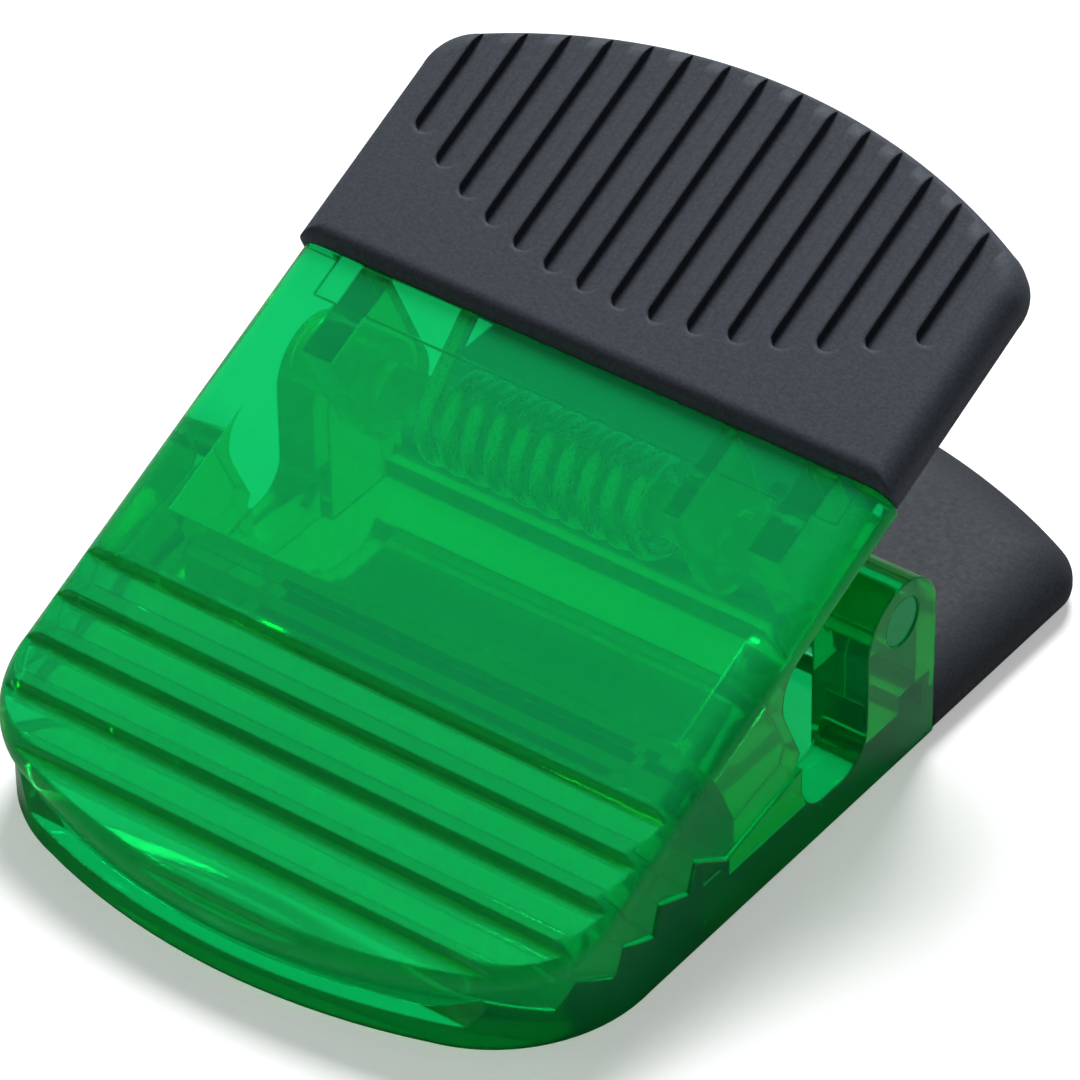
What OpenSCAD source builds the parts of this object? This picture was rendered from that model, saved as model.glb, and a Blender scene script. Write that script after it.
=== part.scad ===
// Sprung memo clip with a magnet in its base.
// Two clear plastic jaws turn on one pin. A torsion spring pushes the rubber-capped levers apart,
// so that the toothed noses close on paper. Press the levers together to open the clip.
// Millimetres, Z up, Y towards the levers. The origin is under the middle of the closed clip.

/* [Overall] */
// Width of the lower jaw and its grip
jaw_w = 44; // [40:0.5:50]
// How far each side of the upper jaw and its grip lies inside the lower one
upper_inset = 0.1; // [0:0.05:0.6]
// From the pivot to the nose of the lower jaw
nose_reach = 38.6; // [37:0.1:41]
// From the pivot to the back of the lower grip
lever_reach = 25.7; // [22:0.1:30]
// Height of the pivot above the underside
pivot_z = 11.3; // [11:0.1:12.5]
// Slope of the upper plate while the jaws are closed
plate_tilt = 24; // [22:0.5:26]
// Slope of the line on which the jaws meet
part_tilt = 13; // [12:0.25:14]
// Radius of the noses and of the backs of the grips, seen from above
end_r = 44; // [38:1:60]
// Radius of the nose corners of the lower jaw
corner_r = 10.8; // [7.2:0.6:12]
// Radius of the nose corners of the upper jaw
upper_corner_r = 7.5; // [6:0.5:12]
// Gap between the closed jaws, square to the line on which they meet
jaw_gap = 0.3; // [0.2:0.05:0.5]

/* [Upper jaw] */
// Top of the plate above the pivot, square to the plate
plate_h = 9.9; // [9.5:0.1:11]
// Thickness of the plate
plate_t = 1.9; // [1.6:0.1:2.2]
// Rounding of the outer edge of the plate
plate_edge_r = 1.8; // [0.8:0.1:2]
// From the pivot to the nose of the upper jaw, along the plate
upper_nose_reach = 38.2; // [37:0.1:40]
// From the pivot back to the front of the upper grip, along the plate
upper_grip_start = 3; // [2:0.1:4]
// From the pivot forward to the back end of the skirts
skirt_start = 10.7; // [9:0.1:12]
// Fillet between the back end of a skirt and the plate
skirt_fillet = 2.8; // [1:0.1:4]
// Bevel on the lower back corner of a skirt
skirt_bevel = 0.8; // [0.3:0.1:1.2]
// How far the skirts reach below the line on which the jaws meet
skirt_drop = 1.75; // [1.2:0.05:2.2]
// Thickness of the skirts and of the lower side walls
wall_t = 3.2; // [2.4:0.1:3.6]
// From the pivot forward to the solid toothed nose
nose_block = 16.2; // [14.5:0.1:16.8]

/* [Step ridges] */
// Number of step ridges on the front of the plate
ridge_count = 6; // [3:1:6]
// From the pivot forward to the first ridge
ridge_first = 20.65; // [19:0.05:21]
// Distance from ridge to ridge
ridge_pitch = 3.23; // [2.8:0.01:3.3]
// Height of each step
ridge_h = 0.5; // [0.2:0.05:0.7]
// Length of the steep side of a step
ridge_run = 0.35; // [0.1:0.05:0.6]

/* [Teeth] */
// Number of teeth on each jaw
tooth_count = 5; // [3:1:5]
// From the pivot forward to the first lower tooth
tooth_first = 21.3; // [20.5:0.1:21.5]
// Distance from tooth to tooth
tooth_pitch = 3.55; // [3.2:0.05:3.6]
// Height of a tooth
tooth_h = 1.8; // [1:0.1:2]
// Length of the steep side of a tooth
tooth_steep = 1.05; // [0.8:0.05:1.4]
// Length of the long slope that leads to the first tooth
tooth_lead = 2.6; // [2:0.1:3]

/* [Lower jaw] */
// Rounding of the lower outer edge
base_edge_r = 0.8; // [0.4:0.1:1.4]
// Thickness of the floor
floor_t = 2.2; // [1.8:0.1:2.6]
// Height of the low notch in the side walls, in front of the towers
notch_z = 3.2; // [2.8:0.1:4]
// Radius in the corners of the notch
notch_r = 2.4; // [1:0.1:3]
// Thickness of a pivot tower
tower_t = 4; // [3:0.1:5]
// Radius of the round top of a tower
tower_r = 3.55; // [3.2:0.05:4]
// From the pivot down to the middle of that round top
tower_drop = 0.8; // [0:0.1:1]
// Thickness of the sill that joins the tongue to the floor
sill_t = 1.6; // [1:0.1:2.4]

/* [Grips] */
// Top of the upper grip above the top of the plate
grip_rise = 1; // [0.6:0.1:1.4]
// Thickness of the lower grip
lower_grip_t = 4; // [3.8:0.1:5.2]
// Thickness of the rubber under the upper tongue
under_t = 0.8; // [0.6:0.1:1.2]
// How far the edge of that rubber lies inside the edge of the grip
under_inset = 1.2; // [0.8:0.1:1.8]
// Gap between that rubber and the lugs of the upper jaw
under_gap = 0.4; // [0.3:0.05:0.8]
// From the pivot to the back of the upper grip, along the plate
upper_lever_reach = 24.9; // [22:0.1:30]
// Height of the lower grip above the level of the underside
grip_lift = 0.3; // [0.1:0.1:0.6]
// Radius of the back corners of a grip
grip_corner_r = 3.6; // [3.4:0.1:6]
// Rounding of the upper edge of a grip
grip_edge_r = 1.6; // [1:0.1:1.7]
// Rounding of the lower edge of a grip
grip_low_edge_r = 0.6; // [0.3:0.1:0.9]
// Rubber at the sides and the back of the tongue
grip_wall = 2.6; // [2:0.1:3.6]
// Thickness of the tongue inside a grip
tongue_t = 1.7; // [1.4:0.1:1.9]
// Rubber between the tongue and the outer face of its grip
grip_cover = 1.5; // [1.3:0.1:1.6]
// Play of a tongue in its grip
tongue_fit = 0.05; // [0.02:0.01:0.1]

/* [Finger grooves] */
// Number of finger grooves in the upper grip
groove_count = 15; // [9:2:15]
// Distance from groove to groove
groove_pitch = 2.64; // [2.4:0.01:2.7]
// Width of a groove
groove_w = 1.5; // [0.9:0.1:1.6]
// Depth of a groove
groove_d = 0.6; // [0.4:0.1:1]
// From the front of the grip to the front of the middle groove
groove_inset = 4.3; // [3:0.1:6]
// Radius of the arc on which the grooves begin
groove_arc_r = 33.5; // [30:0.5:60]

/* [Pivot and spring] */
// Radius of the pin
pin_r = 1.65; // [1.4:0.05:1.8]
// How far the ends of the pin lie inside the towers
pin_recess = 0.1; // [0.05:0.05:0.8]
// Play of the pin in the towers, on the radius
pin_press = 0.02; // [0.01:0.01:0.03]
// Play of the pin in the lugs, on the radius
pin_run = 0.06; // [0.04:0.01:0.1]
// Side play between a lug and its tower
lug_gap = 0.4; // [0.3:0.05:0.8]
// Thickness of a lug
lug_t = 2.2; // [1.8:0.1:2.6]
// Radius of the round end of a lug
lug_r = 3.3; // [3:0.1:3.5]
// Thickness of the rib that stops the spring on the right, as the left lug does on the left
keeper_t = 1.1; // [0.9:0.1:1.6]
// Play of the pin in that rib, on the radius
keeper_play = 0.35; // [0.2:0.05:0.6]
// From the right end of the spring to that rib
keeper_room = 3.9; // [2:0.1:4.5]
// Wire thickness
wire_d = 1.2; // [1:0.05:1.25]
// Radius of the coil at the middle of the wire
coil_r = 2.7; // [2.5:0.05:3]
// Number of whole turns
coil_turns = 9; // [6:1:9]
// Distance from turn to turn
coil_pitch = 1.74; // [1.7:0.01:1.8]
// How far the middle of the coil lies to the left of the middle of the clip
coil_shift = 3.3; // [2:0.1:3.6]
// Slope of a leg against its lever
leg_slope = 20; // [18:0.5:24]
// Gap between the end of a leg and its tongue
leg_gap = 0.3; // [0.15:0.05:0.4]
// Width of the slot for a leg in its grip
leg_slot_w = 2; // [1.8:0.1:2.6]

/* [Magnet] */
// Width of the magnet
magnet_w = 26; // [16:0.5:32]
// Length of the magnet
magnet_l = 12; // [8:0.5:13]
// Thickness of the magnet
magnet_t = 3; // [2:0.1:3.4]
// From the pivot forward to the middle of the magnet
magnet_reach = 9.5; // [8.8:0.1:9.6]
// Play of the magnet in its pocket
magnet_fit = 0.1; // [0.05:0.05:0.2]
// Plastic round and above the magnet
magnet_cover = 1.2; // [0.8:0.1:1.4]

/* [Hidden] */
$fn = 96;
// How far a cut runs past the face that it opens
past = 1;
// How far one form runs into another of its own piece
sink = 0.2;
// How far a corner circle stands out from the edges that it joins, so that they cross cleanly
proud = 0.02;
half_w = jaw_w / 2;
upper_half_w = half_w - upper_inset;
inner_w = half_w - wall_t;
pivot_y = (nose_reach - lever_reach) / 2;
upper_part_tilt = plate_tilt - part_tilt;
plate_low = plate_h - plate_t;
nose_p = nose_reach / cos(part_tilt);
// The line on which the jaws meet ends half way up the last tooth at the noses
lip_q = 0;
// Upper lever, square to the plate
upper_grip_top = plate_h + grip_rise;
upper_tongue_top = upper_grip_top - grip_cover;
upper_tongue_low = upper_tongue_top - tongue_t;
under_low = upper_tongue_low - under_t;
// Lower lever, from the pivot
lower_grip_start = tower_r + 2 * tongue_fit;
lower_grip_low = grip_lift - pivot_z;
lower_grip_top = lower_grip_low + lower_grip_t;
lower_tongue_low = lower_grip_low + grip_cover;
lower_tongue_top = lower_tongue_low + tongue_t;
tower_in = half_w - tower_t;
lug_out = tower_in - lug_gap;
pin_l = jaw_w - 2 * pin_recess;
pad_t = magnet_t + magnet_fit + magnet_cover;
pad_w = magnet_w + 2 * (magnet_fit + magnet_cover);
pad_l = magnet_l + 2 * (magnet_fit + magnet_cover);
lower_block = nose_block * cos(upper_part_tilt) * cos(part_tilt) + skirt_drop * sin(part_tilt);
notch_front = skirt_start * cos(upper_part_tilt) * cos(part_tilt);
// Spring, as angles in the Y-Z plane about the pivot
leg_up = plate_tilt + leg_slope;
leg_down = -leg_slope;
wind_from = leg_up + 90;
wind_to = leg_down - 90 + 360 * (coil_turns + 1);
wind_all = wind_to - wind_from;
coil_len = coil_pitch * wind_all / 360;
coil_start = -coil_shift - coil_len / 2;
coil_end = coil_start + coil_len;
wire_r = wire_d / 2;
keeper_x = coil_end + wire_r + keeper_room;
leg_reach_up = (upper_tongue_low - leg_gap - wire_r - coil_r * cos(leg_slope)) / sin(leg_slope);
leg_reach_down = (-lower_tongue_top - leg_gap - wire_r - coil_r * cos(leg_slope)) / sin(leg_slope);
leg_end_up = leg_reach_up * cos(leg_slope);
leg_end_down = leg_reach_down * cos(leg_slope);
rings_per_turn = 8;
wire_sides = 6;

// Puts a form drawn about the pivot in its place on the base
module on_base() {
  translate([0, pivot_y, pivot_z]) children();
}

// Puts a form drawn about the pivot, with the plate level, in its place on the closed clip
module on_plate() {
  on_base() rotate([plate_tilt, 0, 0]) children();
}

// Turns a side profile, drawn as (y, z), into a solid from x = from to x = to
module across(from, to) {
  translate([from, 0, 0]) rotate([90, 0, 90]) linear_extrude(to - from) children();
}

// Quarter of a disc at a corner, up or down, run a little into what it rounds
module round_corner(x, z, r, down) {
  translate([x, z]) mirror([0, down]) intersection() {
    circle(r);
    translate([-sink, -sink]) square(r + sink);
  }
}

// Half of a cross-section from the middle out to r, rounded at the outer top and bottom
module edge_profile(r, low, high, top_r, low_r) {
  translate([0, low + low_r]) square([r, high - low - top_r - low_r]);
  translate([0, high - top_r - sink]) square([r - top_r, top_r + sink]);
  round_corner(r - top_r, high - top_r, top_r, 0);
  if (low_r > 0) {
    translate([0, low]) square([r - low_r, low_r + sink]);
    round_corner(r - low_r, low + low_r, low_r, 1);
  }
}

// Plate with a bowed front, round front corners and rounded edges, from y = -reach to y = back,
// as wide as x = -side_x to x = side_x
module bowed_plate(side_x, reach, back, corner, low, high, top_r, low_r) {
  bow_y = end_r - reach;
  corner_x = side_x - corner + proud;
  corner_y = bow_y - sqrt(pow(end_r - corner + proud, 2) - pow(corner_x, 2));
  // The bow ends inside the corner circles, on the lines through their middles
  bow_slope = corner_x / (bow_y - corner_y);
  bow_start = bow_y - corner_y - sink;
  bow_deep = end_r + past;
  intersection() {
    translate([0, bow_y, 0]) rotate_extrude() edge_profile(end_r, low, high, top_r, low_r);
    translate([0, 0, low - past])
      linear_extrude(high - low + 2 * past)
        polygon([[-bow_slope * bow_start, bow_y - bow_start], [-bow_slope * bow_deep, bow_y - bow_deep],
                 [bow_slope * bow_deep, bow_y - bow_deep], [bow_slope * bow_start, bow_y - bow_start]]);
  }
  for (side = [-1, 1])
    translate([side * corner_x, corner_y, 0]) rotate_extrude() edge_profile(corner, low, high, top_r, low_r);
  translate([0, back, 0]) rotate([90, 0, 0]) linear_extrude(back - corner_y) {
    edge_profile(side_x, low, high, top_r, low_r);
    mirror([1, 0]) edge_profile(side_x, low, high, top_r, low_r);
  }
}

// Point p forward along the line on which the jaws meet and q above it, on the base
function base_point(p, q) =
  [-p * cos(part_tilt) - q * sin(part_tilt), q * cos(part_tilt) - p * sin(part_tilt)];

// The same point while the plate is level
function plate_point(p, q) =
  [q * sin(upper_part_tilt) - p * cos(upper_part_tilt), q * cos(upper_part_tilt) + p * sin(upper_part_tilt)];

// Toothed line from the back end of the skirts to past the nose, as [p, q]
function bite_line() = concat(
  [[skirt_start, -skirt_drop], [tooth_first - tooth_lead, -skirt_drop]],
  [for (i = [0 : tooth_count - 1], tip = [0, 1])
    [tooth_first + i * tooth_pitch + tip * tooth_steep, (0.5 - tip) * tooth_h]],
  [[nose_p, lip_q], [nose_p + past, lip_q]]
);

// Top line of the plate from behind the grip's front to past the nose
function ridge_line() = concat(
  [[upper_grip_start - tongue_fit, plate_h]],
  [for (i = [0 : ridge_count - 1], foot = [0, 1])
    [-ridge_first - i * ridge_pitch - foot * ridge_run, plate_h - foot * ridge_h]],
  [[-upper_nose_reach - past, plate_h - ridge_h]]
);

// Side profile of the upper jaw without its tongue
module upper_side() {
  bite = [for (b = bite_line()) plate_point(b[0], b[1] + jaw_gap / 2)];
  last = len(bite) - 1;
  bevel_point = plate_point(skirt_start + skirt_bevel, jaw_gap / 2 - skirt_drop);
  polygon(concat(
    ridge_line(),
    [for (i = [last : -1 : 1]) bite[i]],
    [bevel_point, [-skirt_start, bevel_point[1] + skirt_bevel],
     [-skirt_start, plate_low], [upper_grip_start - tongue_fit, plate_low]]
  ));
  // Fillet under the plate at the back end of the skirt
  difference() {
    translate([-skirt_start - sink, plate_low - skirt_fillet]) square(skirt_fillet + sink);
    translate([-skirt_start + skirt_fillet, plate_low - skirt_fillet]) circle(skirt_fillet);
  }
}

// Rib that hangs from the plate round the pin, x = from to x = to
module hanger(from, to, bore_r) {
  across(from, to) difference() {
    union() {
      circle(lug_r);
      translate([-lug_r, 0]) square([2 * lug_r, plate_low + sink]);
    }
    circle(bore_r);
  }
}

// Flat tongue back along +y, as far inside the outline of its grip as inset says
module tongue(side_x, inset, front, reach, low, high) {
  tongue_x = side_x - inset;
  translate([0, 0, low]) linear_extrude(high - low) intersection() {
    translate([-tongue_x, front]) square([2 * tongue_x, reach - inset - front]);
    translate([0, reach - end_r]) circle(end_r - inset);
  }
}

// Rubber cap with its bowed back towards +y
module grip_form(side_x, front, reach, low, high, top_r, low_r) {
  mirror([0, 1, 0]) bowed_plate(side_x, reach, -front, grip_corner_r, low, high, top_r, low_r);
}

// Slot for a spring leg, from the front of a grip to past the end of the leg
module leg_slot(x, front, leg_end, low, high) {
  slot_l = leg_end - front + wire_d + leg_gap;
  translate([x - leg_slot_w / 2, front - past, low]) cube([leg_slot_w, slot_l + past, high - low]);
}

module lower_jaw() {
  bite = [for (b = bite_line()) base_point(b[0], b[1] - jaw_gap / 2)];
  last = len(bite) - 1;
  notch_back = -tower_r;
  notch_low = notch_z - pivot_z;
  color([0.02, 0.55, 0.27, 0.75]) on_base() difference() {
    union() {
      intersection() {
        mirror([0, 0, 1])
          bowed_plate(half_w, nose_reach, tower_r, corner_r, -tower_r, pivot_z, base_edge_r, 0);
        across(-half_w - past, half_w + past) difference() {
          polygon(concat(
            [[tower_r, -pivot_z], [-nose_reach - past, -pivot_z]],
            [for (i = [last : -1 : 0]) bite[i]],
            [[notch_back, bite[0][1]], [tower_r, bite[0][1]]]
          ));
          // Low notch between the walls and the towers
          translate([-notch_front, notch_low + notch_r]) square([notch_back + notch_front, pivot_z]);
          translate([-notch_front + notch_r, notch_low])
            square([notch_back + notch_front - 2 * notch_r, pivot_z]);
          translate([-notch_front + notch_r, notch_low + notch_r]) circle(notch_r);
          translate([notch_back - notch_r, notch_low + notch_r]) circle(notch_r);
        }
      }
      // Pivot towers
      for (side = [0, 1]) mirror([side, 0, 0]) across(tower_in, half_w) {
        translate([0, -tower_drop]) circle(tower_r);
        translate([-tower_r, floor_t - pivot_z - sink])
          square([2 * tower_r, pivot_z - floor_t + sink - tower_drop]);
      }
      tongue(half_w, grip_wall, tower_r - sink, lever_reach, lower_tongue_low, lower_tongue_top);
    }
    // Hollow behind the toothed nose, down to the floor
    difference() {
      translate([-inner_w, -lower_block, floor_t - pivot_z])
        cube([2 * inner_w, lower_block - tower_r, pivot_z]);
      translate([-pad_w / 2, -magnet_reach - pad_l / 2, -pivot_z]) cube([pad_w, pad_l, pad_t]);
    }
    // Way for the lugs and the spring between the towers, in front of the sill and above it
    translate([-tower_in, -tower_r - sink, floor_t - pivot_z])
      cube([2 * tower_in, 2 * tower_r + sink - sill_t, pivot_z]);
    translate([-tower_in, 0, lower_tongue_top]) cube([2 * tower_in, tower_r + past, pivot_z]);
    // Pocket for the magnet
    translate([-magnet_w / 2 - magnet_fit, -magnet_reach - magnet_l / 2 - magnet_fit, -pivot_z - past])
      cube([magnet_w + 2 * magnet_fit, magnet_l + 2 * magnet_fit, magnet_t + magnet_fit + past]);
    rotate([0, 90, 0]) cylinder(r = pin_r + pin_press, h = jaw_w + 2 * past, center = true);
  }
}

module lower_grip() {
  color([0.16, 0.17, 0.19]) on_base() difference() {
    grip_form(half_w, lower_grip_start, lever_reach, lower_grip_low, lower_grip_top,
              grip_edge_r, grip_low_edge_r);
    tongue(half_w, grip_wall - tongue_fit, lower_grip_start - past, lever_reach,
           lower_tongue_low - tongue_fit, lower_tongue_top + tongue_fit);
    leg_slot(coil_end, lower_grip_start, leg_end_down, lower_tongue_top, lower_grip_top + past);
  }
}

module magnet() {
  color([0.2, 0.2, 0.21]) on_base()
    translate([-magnet_w / 2, -magnet_reach - magnet_l / 2, -pivot_z])
      cube([magnet_w, magnet_l, magnet_t]);
}

module pivot_pin() {
  color([0.05, 0.5, 0.27]) on_base() rotate([0, 90, 0]) cylinder(r = pin_r, h = pin_l, center = true);
}

// One wire: straight leg, coil, straight leg, all from the angles above
steps = round(rings_per_turn * wind_all / 360);
function coil_point(i) =
  let (a = wind_from + wind_all * i / steps)
  [coil_start + coil_len * i / steps, coil_r * cos(a), coil_r * sin(a)];
leg_tip_up = coil_point(0) + leg_reach_up * [0, cos(leg_up), sin(leg_up)];
leg_tip_down = coil_point(steps) + leg_reach_down * [0, cos(leg_down), sin(leg_down)];
wire_line = concat([leg_tip_up], [for (i = [0 : steps]) coil_point(i)], [leg_tip_down]);
wire_last = len(wire_line) - 1;
function unit(v) = v / norm(v);
function wire_step(i) = unit(wire_line[i + 1] - wire_line[i]);
function wire_way(i) = unit(wire_step(max(i - 1, 0)) + wire_step(min(i, wire_last - 1)));
function wire_ring(i) =
  let (way = wire_way(i), flat = unit(cross(way, [1, 0, 0])), side = cross(way, flat))
  [for (k = [0 : wire_sides - 1])
    let (a = 360 * k / wire_sides)
    wire_line[i] + wire_r * (cos(a) * flat + sin(a) * side)];
last_ring = wire_last * wire_sides;
wire_points = [for (i = [0 : wire_last], pt = wire_ring(i)) pt];
wire_faces = concat(
  [for (k = [1 : wire_sides - 2]) [0, k + 1, k]],
  [for (i = [0 : wire_last - 1], k = [0 : wire_sides - 1], half = [0, 1])
    let (a = i * wire_sides + k, b = i * wire_sides + (k + 1) % wire_sides)
    half == 0 ? [a, b, a + wire_sides] : [b, b + wire_sides, a + wire_sides]],
  [for (k = [1 : wire_sides - 2]) [last_ring, last_ring + k, last_ring + k + 1]]
);
// Least gap of the wire to itself, between points at least half a turn apart
self_gap = min([for (i = [0 : wire_last], j = [0 : wire_last])
  if (j > i + rings_per_turn / 2) norm(wire_line[i] - wire_line[j])]) - wire_d;
echo(least_wire_gap = self_gap);

module torsion_spring() {
  color([0.7, 0.71, 0.72]) on_base() polyhedron(points = wire_points, faces = wire_faces);
}

module upper_jaw() {
  color([0.02, 0.62, 0.3, 0.75]) on_plate() {
    difference() {
      intersection() {
        bowed_plate(upper_half_w, upper_nose_reach, upper_grip_start, upper_corner_r,
                    -skirt_start, plate_h, plate_edge_r, 0);
        across(-half_w - past, half_w + past) upper_side();
      }
      // Hollow under the plate, between the skirts
      translate([-inner_w, -nose_block, -skirt_start])
        cube([2 * inner_w, nose_block + upper_grip_start + past, skirt_start + plate_low]);
    }
    for (side = [0, 1]) mirror([side, 0, 0]) hanger(lug_out - lug_t, lug_out, pin_r + pin_run);
    // Rib that stops the spring
    hanger(keeper_x, keeper_x + keeper_t, pin_r + keeper_play);
    tongue(upper_half_w, grip_wall, upper_grip_start - grip_wall, upper_lever_reach,
           upper_tongue_low, upper_tongue_top);
  }
}

module upper_grip() {
  color([0.2, 0.21, 0.23]) on_plate() difference() {
    union() {
      intersection() {
        grip_form(upper_half_w, upper_grip_start, upper_lever_reach, plate_low, upper_grip_top,
                  grip_edge_r, grip_low_edge_r);
        // Rounded front edge above the plate
        across(-half_w - past, half_w + past) {
          translate([upper_grip_start, plate_low - past])
            square([upper_lever_reach, plate_t + past]);
          translate([upper_grip_start + grip_rise, plate_low])
            square([upper_lever_reach, plate_t + grip_rise + past]);
          translate([upper_grip_start + grip_rise, plate_h]) circle(grip_rise);
        }
      }
      // Rubber under the tongue
      tongue(upper_half_w, under_inset, lug_r + under_gap, upper_lever_reach, under_low, plate_low + sink);
    }
    tongue(upper_half_w, grip_wall - tongue_fit, upper_grip_start - grip_wall - past, upper_lever_reach,
           upper_tongue_low - tongue_fit, upper_tongue_top + tongue_fit);
    leg_slot(coil_start, upper_grip_start, leg_end_up, under_low - past, upper_tongue_low);
    // Finger grooves, which begin on an arc and run out over the back
    for (i = [0 : groove_count - 1]) {
      x = (i - (groove_count - 1) / 2) * groove_pitch;
      front = upper_grip_start + groove_inset + groove_arc_r - sqrt(pow(groove_arc_r, 2) - pow(x, 2));
      translate([x, front, upper_grip_top - groove_d]) linear_extrude(groove_d + past) {
        circle(d = groove_w);
        translate([-groove_w / 2, 0]) square([groove_w, upper_lever_reach]);
      }
    }
  }
}

lower_jaw();
lower_grip();
magnet();
pivot_pin();
torsion_spring();
upper_jaw();
upper_grip();
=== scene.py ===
# %% [markdown]
# # A sprung memo clip in clear green plastic
#
# The clip is made of two moulded jaws of tinted clear plastic, two black rubber caps on the levers,
# a pin, a torsion spring and a magnet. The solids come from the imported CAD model, which also says
# how the jaws turn. This lesson gives them their finishes, draws the lower grip as a softer pad,
# winds a smooth spring in place of the plain one, and sets up the studio.

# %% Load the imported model
from math import atan2, cos, pi, radians, sin

import bpy
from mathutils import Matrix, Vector


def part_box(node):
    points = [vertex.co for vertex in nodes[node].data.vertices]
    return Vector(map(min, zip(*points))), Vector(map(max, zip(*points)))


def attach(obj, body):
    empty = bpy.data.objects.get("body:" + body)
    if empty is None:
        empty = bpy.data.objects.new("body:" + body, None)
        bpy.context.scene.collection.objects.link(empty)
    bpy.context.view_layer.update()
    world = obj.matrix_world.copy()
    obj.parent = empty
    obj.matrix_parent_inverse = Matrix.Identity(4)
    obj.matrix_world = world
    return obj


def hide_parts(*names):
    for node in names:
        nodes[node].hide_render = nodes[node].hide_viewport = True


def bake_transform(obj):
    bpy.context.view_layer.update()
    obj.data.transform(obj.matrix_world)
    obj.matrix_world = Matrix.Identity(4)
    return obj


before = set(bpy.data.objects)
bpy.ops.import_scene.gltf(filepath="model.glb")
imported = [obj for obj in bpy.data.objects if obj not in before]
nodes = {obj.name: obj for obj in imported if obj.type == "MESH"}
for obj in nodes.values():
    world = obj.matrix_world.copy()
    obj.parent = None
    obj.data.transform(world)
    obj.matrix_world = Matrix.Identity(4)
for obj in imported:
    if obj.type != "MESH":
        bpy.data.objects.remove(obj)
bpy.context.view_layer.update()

print("CAD nodes:", sorted(nodes))

# %% [markdown]
# ## The camera
#
# The product was taken from the right and from well above with a long lens, so the edges run almost
# parallel. The place and the lens come from matching the straight edges of the clip.

# %% Camera
bpy.ops.object.select_all(action="DESELECT")
bpy.ops.object.camera_add(
    location=(0.207693, -0.273559, 0.285957),
    rotation=(radians(51.3599), radians(0.7104), radians(36.6238)),
)
camera = bpy.context.object
camera.data.sensor_width = 36
camera.data.lens = 244.677
camera.data.clip_start = 0.01
bpy.context.scene.camera = camera
print("camera", tuple(round(v, 4) for v in camera.location), "lens", round(camera.data.lens, 1))

# %% [markdown]
# ## Materials: a start for each finish
#
# Every finish starts from one Principled shader. The texture reads object coordinates, which are
# metres here, so a noise scale of 1000 gives grains of about a millimetre.


# %% Shader helpers
def new_finish(name, **values):
    material = bpy.data.materials.new(name)
    material.use_nodes = True
    tree = material.node_tree
    shader = tree.nodes["Principled BSDF"]
    for socket, value in values.items():
        shader.inputs[socket.replace("_", " ")].default_value = value
    place = tree.nodes.new("ShaderNodeTexCoord")
    return material, tree, shader, place.outputs["Object"]


def noise(tree, place, scale, detail=3.0, rough=0.5, stretch=(1, 1, 1)):
    mapping = tree.nodes.new("ShaderNodeMapping")
    mapping.inputs["Scale"].default_value = stretch
    tree.links.new(place, mapping.inputs["Vector"])
    texture = tree.nodes.new("ShaderNodeTexNoise")
    texture.inputs["Scale"].default_value = scale
    texture.inputs["Detail"].default_value = detail
    texture.inputs["Roughness"].default_value = rough
    tree.links.new(mapping.outputs["Vector"], texture.inputs["Vector"])
    return texture.outputs["Fac"]


def ramp(tree, value, stops):
    node = tree.nodes.new("ShaderNodeValToRGB")
    elements = node.color_ramp.elements
    while len(elements) < len(stops):
        elements.new(0.5)
    for element, (position, colour) in zip(elements, stops):
        element.position = position
        element.color = (*colour, 1.0)
    tree.links.new(value, node.inputs["Fac"])
    return node.outputs["Color"]


def spread(tree, value, low, high, from_low=0.3, from_high=0.7):
    node = tree.nodes.new("ShaderNodeMapRange")
    node.inputs["From Min"].default_value = from_low
    node.inputs["From Max"].default_value = from_high
    node.inputs["To Min"].default_value = low
    node.inputs["To Max"].default_value = high
    tree.links.new(value, node.inputs["Value"])
    return node.outputs["Result"]


def bump(tree, shader, height, distance, strength=1.0, normal=None):
    node = tree.nodes.new("ShaderNodeBump")
    node.inputs["Strength"].default_value = strength
    node.inputs["Distance"].default_value = distance
    tree.links.new(height, node.inputs["Height"])
    if normal is not None:
        tree.links.new(normal, node.inputs["Normal"])
    tree.links.new(node.outputs["Normal"], shader.inputs["Normal"])
    return node.outputs["Normal"]


def dress(piece, material):
    piece.data.materials.clear()
    piece.data.materials.append(material)


# %% [markdown]
# ## Clear green plastic
#
# The jaws are injection moulded from tinted clear plastic. The surface is polished, with the slight
# waves that a cooling moulding leaves. The tint has a little cloud in it, so part of the light
# scatters and makes the green glow, and part goes straight through. The colour also deepens with
# the thickness, which is why the solid noses are darker than the plate. A volume that absorbs red
# and blue does that, and a surface tint alone could not. The lower jaw is clearer and deeper in
# tint than the upper one, and shines less. The edges are a little rounded, as on any moulding.


# %% Clear plastic
EDGE_SAMPLES = 6
PLASTIC_EDGE = 0.0003
TINT_DENSITY = 300


def rounded_edges(tree, radius):
    node = tree.nodes.new("ShaderNodeBevel")
    node.samples = EDGE_SAMPLES
    node.inputs["Radius"].default_value = radius
    return node.outputs["Normal"]


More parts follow.
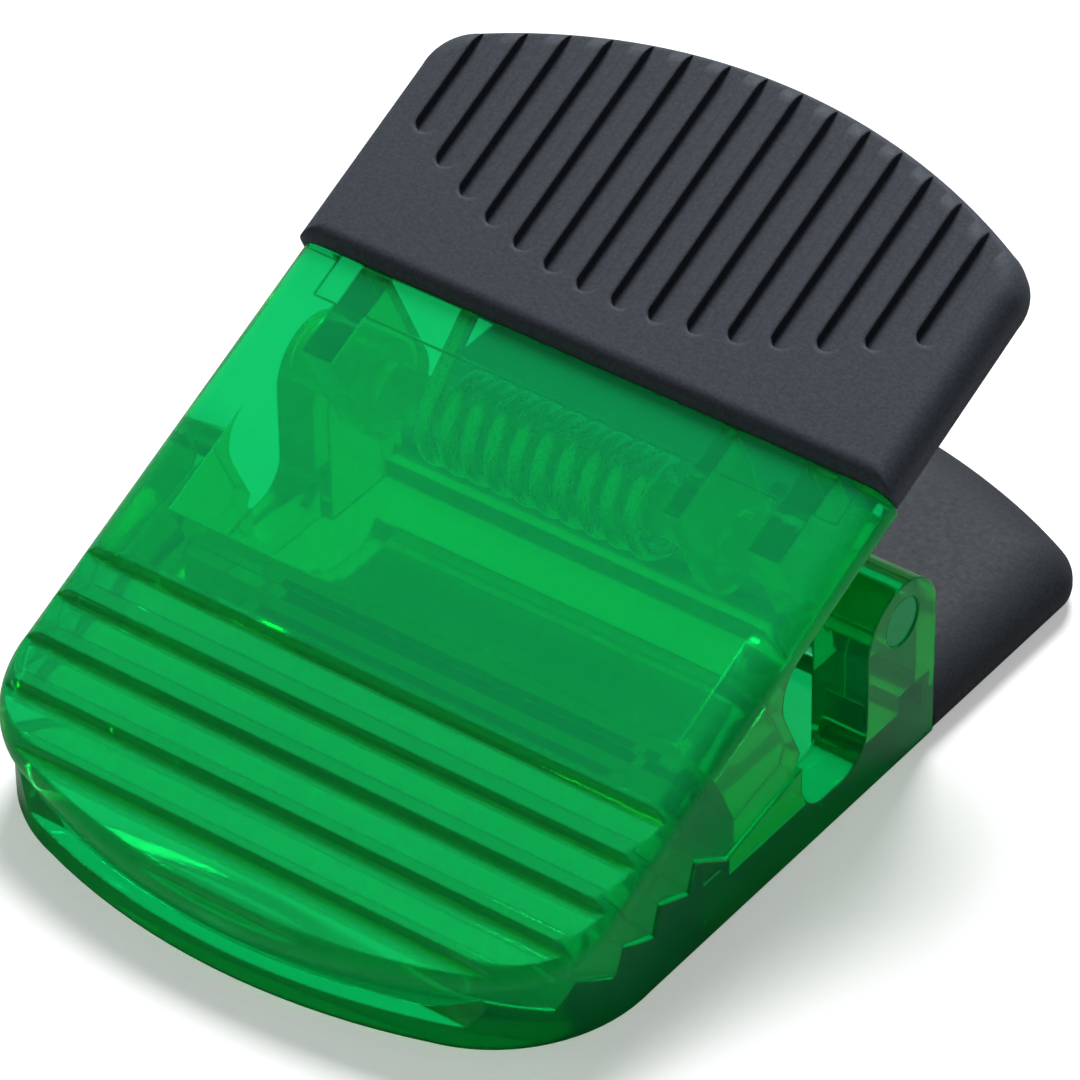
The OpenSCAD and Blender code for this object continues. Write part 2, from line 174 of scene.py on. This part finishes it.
def clear_plastic(name, light, dark, clear, through, shine):
    material, tree, shader, place = new_finish(
        name, Transmission_Weight=clear, IOR=1.49, Specular_IOR_Level=shine, Specular_Tint=(0.3, 1, 0.6, 1)
    )
    cloud = noise(tree, place, 90, 4)
    tree.links.new(ramp(tree, cloud, [(0.3, dark), (0.7, light)]), shader.inputs["Base Color"])
    tree.links.new(spread(tree, noise(tree, place, 400, 3), 0.02, 0.05), shader.inputs["Roughness"])
    bump(tree, shader, noise(tree, place, 160, 2), 0.00004, 0.3, rounded_edges(tree, PLASTIC_EDGE))
    tint = tree.nodes.new("ShaderNodeVolumeAbsorption")
    tint.inputs["Color"].default_value = (*through, 1)
    tint.inputs["Density"].default_value = TINT_DENSITY
    tree.links.new(tint.outputs["Volume"], tree.nodes["Material Output"].inputs["Volume"])
    return material


green_upper = clear_plastic(
    "clear_green_upper", (0.012, 0.97, 0.300), (0.009, 0.93, 0.285), 0.75, (0.0, 0.84, 0.53), 0.2
)
green_lower = clear_plastic(
    "clear_green_lower", (0.010, 0.90, 0.285), (0.008, 0.86, 0.270), 0.84, (0.0, 0.76, 0.46), 0.12
)
green_pin = clear_plastic(
    "pin_plastic", (0.012, 0.80, 0.250), (0.008, 0.74, 0.230), 0.5, (0.0, 0.80, 0.50), 0.2
)
dress(nodes["upper_jaw"], green_upper)
dress(nodes["lower_jaw"], green_lower)
dress(nodes["pivot_pin"], green_pin)
print("clear plastic on the jaws and the pin")

# %% [markdown]
# ## Black rubber
#
# The grips are soft black rubber from a finely spark-eroded mould, which leaves a satin, even grain.
# It is a dark blue grey. Both grips are the same rubber, but the lower grip's colour is painted darker,
# as painted shade for the shadow that the upper lever casts on it. A high roughness spreads
# the softbox over the whole face, and the rounded edges go dark where they turn away from it.


# %% Rubber
RUBBER_EDGE = 0.0004


def rubber(name, light, dark):
    material, tree, shader, place = new_finish(name, Specular_IOR_Level=0.25, IOR=1.5)
    tone = noise(tree, place, 4200, 4, 0.6)
    tree.links.new(ramp(tree, tone, [(0.35, dark), (0.65, light)]), shader.inputs["Base Color"])
    tree.links.new(spread(tree, noise(tree, place, 2400, 3), 0.62, 0.72), shader.inputs["Roughness"])
    bump(tree, shader, noise(tree, place, 5200, 3, 0.6), 0.00005, 0.4, rounded_edges(tree, RUBBER_EDGE))
    return material


rubber_upper = rubber("black_rubber_upper", (0.061, 0.073, 0.093), (0.043, 0.052, 0.067))
# The same rubber again, painted about half as bright: painted shade for the shadow under the upper lever.
rubber_lower_painted_shade = rubber("black_rubber_lower", (0.030, 0.036, 0.045), (0.020, 0.025, 0.032))
dress(nodes["upper_grip"], rubber_upper)
print("rubber on the upper grip")

# %% [markdown]
# ## The lower grip as a soft pad
#
# The rubber of the lower grip swells over its edges in one broad curve, so its side shows no flat
# wall. Such a cap is moulded with a generous radius, because rubber is thin and tears at sharp
# edges. A disc is pulled to the outline of the grip and drawn up ring by ring. Each ring lies as far
# inside the outline as the section of the pad says, so the curve runs round the corners too. The
# pocket for the tongue and the slot for the spring leg are cut last.

# %% Sizes of the lower grip, in metres
low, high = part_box("lower_grip")
PAD_FRONT, PAD_BACK = low[1], high[1]
PAD_HALF = high[0]
END_R = 0.044
PAD_CORNER = 0.0034
SWELL_W, SWELL_H = 0.0048, 0.0029
PAD_LOW_R = 0.0007
TONGUE_HALF = 0.01945
TONGUE_WALL = 0.00255
TONGUE_LOW, TONGUE_HIGH = low[2] + 0.00145, low[2] + 0.00325
LEG_X, LEG_END = 0.00481, 0.0199
SLOT_W, SLOT_H = 0.002, 0.002
SLOT_SINK = 0.0001
OVERCUT = 0.001


# %% Outline of the grip, and how it shrinks
def steps(start, end, count):
    return [start + (end - start) * i / count for i in range(count + 1)]


def outline(inset):
    side, bow_r = PAD_HALF - inset, END_R - inset
    r = max(PAD_CORNER - inset, 0.0002)
    bow_y = PAD_BACK - END_R
    corner_x = side - r
    corner_y = bow_y + ((bow_r - r) ** 2 - corner_x**2) ** 0.5
    turn = atan2(corner_y - bow_y, corner_x)
    right = [(side, PAD_FRONT)]
    right += [(corner_x + r * cos(a), corner_y + r * sin(a)) for a in steps(0, turn, 12)]
    back = [(bow_r * cos(a), bow_y + bow_r * sin(a)) for a in steps(turn, pi - turn, 48)]
    return right + back[1:-1] + [(-x, y) for x, y in reversed(right)]


quarter = steps(0, pi / 2, 12)
rings = [(PAD_LOW_R * (1 - sin(a)), low[2] + PAD_LOW_R * (1 - cos(a))) for a in quarter[::3]]
rings += [(SWELL_W * (1 - cos(a)), high[2] - SWELL_H * (1 - sin(a))) for a in quarter]
print(len(rings), "rings of", len(outline(0)), "points")

# %% Draw the pad up
bpy.ops.object.select_all(action="DESELECT")
bpy.ops.mesh.primitive_circle_add(
    vertices=len(outline(0)), radius=PAD_HALF, fill_type="NGON", location=(0, 0, 0)
)
pad = bpy.context.object
pad.name = "lower_grip_pad"
for v, (x, y) in zip(pad.data.vertices, outline(rings[0][0])):
    v.co = (x, y, rings[0][1])
for (inset, z), (inset_next, z_next) in zip(rings, rings[1:]):
    bpy.ops.object.mode_set(mode="EDIT")
    bpy.ops.mesh.extrude_region_move(TRANSFORM_OT_translate={"value": (0, 0, z_next - z)})
    bpy.ops.object.mode_set(mode="OBJECT")
    moves = list(zip(outline(inset), outline(inset_next)))
    for v in pad.data.vertices:
        if v.select:
            near = min(moves, key=lambda move: (move[0][0] - v.co.x) ** 2 + (move[0][1] - v.co.y) ** 2)
            v.co.x, v.co.y = near[1]
bpy.ops.object.mode_set(mode="EDIT")
bpy.ops.mesh.select_all(action="SELECT")
bpy.ops.mesh.normals_make_consistent(inside=False)
bpy.ops.object.mode_set(mode="OBJECT")


# %% Cut the pocket and the slot
def cut(piece, tool):
    knife = piece.modifiers.new("cut", "BOOLEAN")
    knife.object = tool
    knife.operation = "DIFFERENCE"
    bpy.context.view_layer.objects.active = piece
    bpy.ops.object.modifier_apply(modifier="cut")
    bpy.data.objects.remove(tool)


bpy.ops.object.select_all(action="DESELECT")
bpy.ops.mesh.primitive_cylinder_add(
    vertices=256,
    radius=END_R - TONGUE_WALL,
    depth=TONGUE_HIGH - TONGUE_LOW,
    location=(0, PAD_BACK - END_R, (TONGUE_HIGH + TONGUE_LOW) / 2),
)
pocket = bpy.context.object
bpy.ops.object.transform_apply(location=True)
bpy.ops.object.mode_set(mode="EDIT")
for point, normal in (
    ((TONGUE_HALF, 0, 0), (1, 0, 0)),
    ((-TONGUE_HALF, 0, 0), (-1, 0, 0)),
    ((0, PAD_FRONT - OVERCUT, 0), (0, -1, 0)),
):
    bpy.ops.mesh.select_all(action="SELECT")
    bpy.ops.mesh.bisect(plane_co=point, plane_no=normal, use_fill=True, clear_outer=True)
bpy.ops.object.mode_set(mode="OBJECT")
cut(pad, pocket)

bpy.ops.object.select_all(action="DESELECT")
bpy.ops.mesh.primitive_cube_add(size=1, location=(0, 0, 0))
slot = bpy.context.object
bpy.ops.object.mode_set(mode="EDIT")
bpy.ops.mesh.select_all(action="SELECT")
slot_front = PAD_FRONT - OVERCUT
bpy.ops.transform.resize(value=(SLOT_W, LEG_END - slot_front, SLOT_H))
bpy.ops.transform.translate(
    value=(LEG_X, (LEG_END + slot_front) / 2, TONGUE_HIGH - SLOT_SINK + SLOT_H / 2)
)
bpy.ops.object.mode_set(mode="OBJECT")
cut(pad, slot)

bpy.ops.object.select_all(action="DESELECT")
pad.select_set(True)
bpy.context.view_layer.objects.active = pad
bpy.ops.object.shade_smooth_by_angle(angle=radians(30))
dress(pad, rubber_lower_painted_shade)
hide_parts("lower_grip")
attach(pad, "lower")
print("lower grip pad of", len(pad.data.polygons), "faces")

# %% [markdown]
# ## Magnet
#
# A ferrite magnet is a dark grey ceramic. Its faces are ground flat, which leaves fine parallel
# lines and a few pale specks.

# %% Ferrite
ferrite, tree, shader, place = new_finish("ferrite", Specular_IOR_Level=0.5)
lines = noise(tree, place, 2600, 3, 0.6, (0.05, 1, 1))
tree.links.new(
    ramp(tree, noise(tree, place, 1800, 4), [(0.3, (0.055, 0.055, 0.058)), (0.75, (0.095, 0.095, 0.10))]),
    shader.inputs["Base Color"],
)
tree.links.new(spread(tree, lines, 0.4, 0.62), shader.inputs["Roughness"])
bump(tree, shader, lines, 0.00003, 0.5)
dress(nodes["magnet"], ferrite)
print("ferrite on the magnet")

# %% [markdown]
# ## Torsion spring
#
# The spring is drawn steel wire. It is wound round the pin in a little over nine turns and ends in
# two straight legs, of which one presses on each lever. A circle and a screw make the coil as a
# winding machine does, and the open ends are then drawn out along their own direction.

# %% Sizes of the spring, in metres
PIVOT = Vector((0.0, 0.00645, 0.0113))
WIRE_R = 0.0006
COIL_R = 0.0027
COIL_SHIFT = 0.0033
COIL_PITCH = 0.00174
WIRE_SIDES = 16
STEPS_A_TURN = 40
LEVER_SLOPE = 24
LEG_SPREAD = 20
UP, DOWN = radians(LEVER_SLOPE + LEG_SPREAD), radians(-LEG_SPREAD)
WIND_FROM = UP + pi / 2
WIND_TO = DOWN - pi / 2 + 2 * pi * 10
LEG_UP = 0.01246
LEG_DOWN = 0.01275
turns = (WIND_TO - WIND_FROM) / (2 * pi)
coil_length = COIL_PITCH * turns
COIL_START = -COIL_SHIFT - coil_length / 2

# %% Wind the coil
bpy.ops.object.select_all(action="DESELECT")
bpy.ops.mesh.primitive_circle_add(vertices=WIRE_SIDES, radius=WIRE_R, location=(0, 0, 0))
spring = bpy.context.object
spring.name = "spring_wire"
bpy.ops.object.mode_set(mode="EDIT")
bpy.ops.mesh.select_all(action="SELECT")
# The section stands across the wire: it lies in the plane of the pin and of the first radius
bpy.ops.transform.translate(value=(0, COIL_R, 0))
bpy.ops.transform.rotate(value=-WIND_FROM, orient_axis="X", center_override=(0, 0, 0))
bpy.ops.transform.translate(value=(COIL_START, 0, 0))
bpy.ops.object.mode_set(mode="OBJECT")
first = sum((v.co for v in spring.data.vertices), Vector()) / len(spring.data.vertices)
print("first section at", tuple(round(c * 1000, 2) for c in first), "mm")

winding = spring.modifiers.new("winding", "SCREW")
winding.axis = "X"
winding.angle = WIND_TO - WIND_FROM
winding.screw_offset = coil_length
winding.steps = winding.render_steps = round(turns * STEPS_A_TURN)
winding.use_merge_vertices = False
winding.use_smooth_shade = True
bpy.ops.object.modifier_apply(modifier="winding")
last = max(spring.data.vertices, key=lambda v: v.index).co.copy()
print("coil of", len(spring.data.vertices), "points, ends at", tuple(round(c * 1000, 2) for c in last), "mm")


# %% Draw the legs
def draw_leg(at_end, angle, length):
    count = len(spring.data.vertices)
    ring = range(count - WIRE_SIDES, count) if at_end else range(WIRE_SIDES)
    bpy.ops.object.mode_set(mode="EDIT")
    bpy.ops.mesh.select_mode(type="VERT")
    bpy.ops.mesh.select_all(action="DESELECT")
    bpy.ops.object.mode_set(mode="OBJECT")
    for i in ring:
        spring.data.vertices[i].select = True
    bpy.ops.object.mode_set(mode="EDIT")
    step = (0, length * cos(angle), length * sin(angle))
    bpy.ops.mesh.extrude_region_move(TRANSFORM_OT_translate={"value": step})
    bpy.ops.mesh.edge_face_add()
    bpy.ops.object.mode_set(mode="OBJECT")


draw_leg(True, DOWN, LEG_DOWN)
draw_leg(False, UP, LEG_UP)
bpy.ops.object.mode_set(mode="EDIT")
bpy.ops.mesh.select_all(action="SELECT")
bpy.ops.transform.translate(value=PIVOT)
bpy.ops.mesh.normals_make_consistent(inside=False)
bpy.ops.object.mode_set(mode="OBJECT")
bpy.ops.object.shade_smooth_by_angle(angle=radians(50))

# %% [markdown]
# Drawing pulls the wire through a die, which leaves fine lines along it. A stretched noise gives
# them, and it also sets where the steel is a little brighter and smoother.

# %% Steel wire
steel, tree, shader, place = new_finish("spring_steel", Metallic=1.0)
drawn = noise(tree, place, 6000, 3, 0.6, (1, 0.2, 0.2))
tree.links.new(
    ramp(tree, drawn, [(0.3, (0.54, 0.54, 0.53)), (0.7, (0.66, 0.66, 0.65))]), shader.inputs["Base Color"]
)
tree.links.new(spread(tree, drawn, 0.24, 0.34), shader.inputs["Roughness"])
bump(tree, shader, drawn, 0.00001, 0.3)
dress(spring, steel)
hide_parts("torsion_spring")
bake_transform(spring)

# %% [markdown]
# ## Studio
#
# The clip stands on a white table. The table is lifted to white for the eye, more so far away from
# the clip, and it still takes the shadow near it. Seen through the plastic it is an even pale grey,
# as a lit table is. In reflections it is dimmer, so that the right faces keep their colour.

# %% Floor
bpy.ops.object.select_all(action="DESELECT")
bpy.ops.mesh.primitive_plane_add(size=4, location=(0, 0, -0.0002))
floor = bpy.context.object
floor.name = "floor"
white, tree, shader, place = new_finish("white_table", Roughness=0.8, Specular_IOR_Level=0.1)
tree.links.new(
    ramp(tree, noise(tree, place, 30, 3), [(0.3, (0.74, 0.74, 0.74)), (0.7, (0.77, 0.77, 0.77))]),
    shader.inputs["Base Color"],
)


def add_glow(tree, surface, strength, kind):
    path = tree.nodes.new("ShaderNodeLightPath")
    scale = tree.nodes.new("ShaderNodeMath")
    scale.operation = "MULTIPLY"
    tree.links.new(strength, scale.inputs[1])
    tree.links.new(path.outputs[kind], scale.inputs[0])
    glow = tree.nodes.new("ShaderNodeEmission")
    tree.links.new(scale.outputs["Value"], glow.inputs["Strength"])
    both = tree.nodes.new("ShaderNodeAddShader")
    tree.links.new(surface, both.inputs[0])
    tree.links.new(glow.outputs["Emission"], both.inputs[1])
    return both.outputs["Shader"]


def white_for(tree, surface, strength, kind):
    path = tree.nodes.new("ShaderNodeLightPath")
    plain = tree.nodes.new("ShaderNodeEmission")
    plain.inputs["Strength"].default_value = strength
    mix = tree.nodes.new("ShaderNodeMixShader")
    tree.links.new(path.outputs[kind], mix.inputs["Fac"])
    tree.links.new(surface, mix.inputs[1])
    tree.links.new(plain.outputs["Emission"], mix.inputs[2])
    return mix.outputs["Shader"]


def dim_for(tree, surface, share, kind):
    path = tree.nodes.new("ShaderNodeLightPath")
    mix = tree.nodes.new("ShaderNodeMixShader")
    tree.links.new(spread(tree, path.outputs[kind], 1.0, share, 0, 1), mix.inputs["Fac"])
    tree.links.new(surface, mix.inputs[2])
    return mix.outputs["Shader"]


far = tree.nodes.new("ShaderNodeVectorMath")
far.operation = "LENGTH"
tree.links.new(place, far.inputs[0])
lift = spread(tree, far.outputs["Value"], 0.4, 1.0, 0.07, 0.25)
table = add_glow(tree, shader.outputs["BSDF"], lift, "Is Camera Ray")
table = dim_for(tree, table, 0.4, "Is Glossy Ray")
table = white_for(tree, table, 0.69, "Is Transmission Ray")
tree.links.new(table, tree.nodes["Material Output"].inputs["Surface"])
dress(floor, white)
print("floor with a white lift")


# %% [markdown]
# One softbox stands high behind the clip, a little to the left, so the right and front edges of the
# rubber go dark. The room is dim and gets darker to the right, and the plate mirrors it and keeps
# its full colour.


# %% Lights
def softbox(name, location, target, size, power):
    bpy.ops.object.light_add(type="AREA", location=location)
    lamp = bpy.context.object
    lamp.name = name
    lamp.data.shape = "RECTANGLE"
    lamp.data.size, lamp.data.size_y = size
    lamp.data.energy = power
    aim = Vector(target) - Vector(location)
    lamp.rotation_euler = aim.to_track_quat("-Z", "Y").to_euler()
    print(name, "at", location, power, "W")


softbox("key_softbox", (-0.17, 0.367, 0.543), (0, 0, 0.01), (0.24, 0.24), 5.5)

world = bpy.data.worlds.new("studio")
bpy.context.scene.world = world
world.use_nodes = True
tree = world.node_tree
room = tree.nodes["Background"]
way = tree.nodes.new("ShaderNodeSeparateXYZ")
tree.links.new(tree.nodes.new("ShaderNodeTexCoord").outputs["Generated"], way.inputs["Vector"])
dim = spread(tree, way.outputs["X"], 0.22, 0.04, -1, 1)
tree.links.new(dim, room.inputs["Strength"])
room.inputs["Color"].default_value = (1, 1, 1, 1)
sky = white_for(tree, room.outputs["Background"], 0.75, "Is Transmission Ray")
sky = white_for(tree, sky, 1.0, "Is Camera Ray")
tree.links.new(sky, tree.nodes["World Output"].inputs["Surface"])
bpy.context.scene.view_settings.view_transform = "Standard"
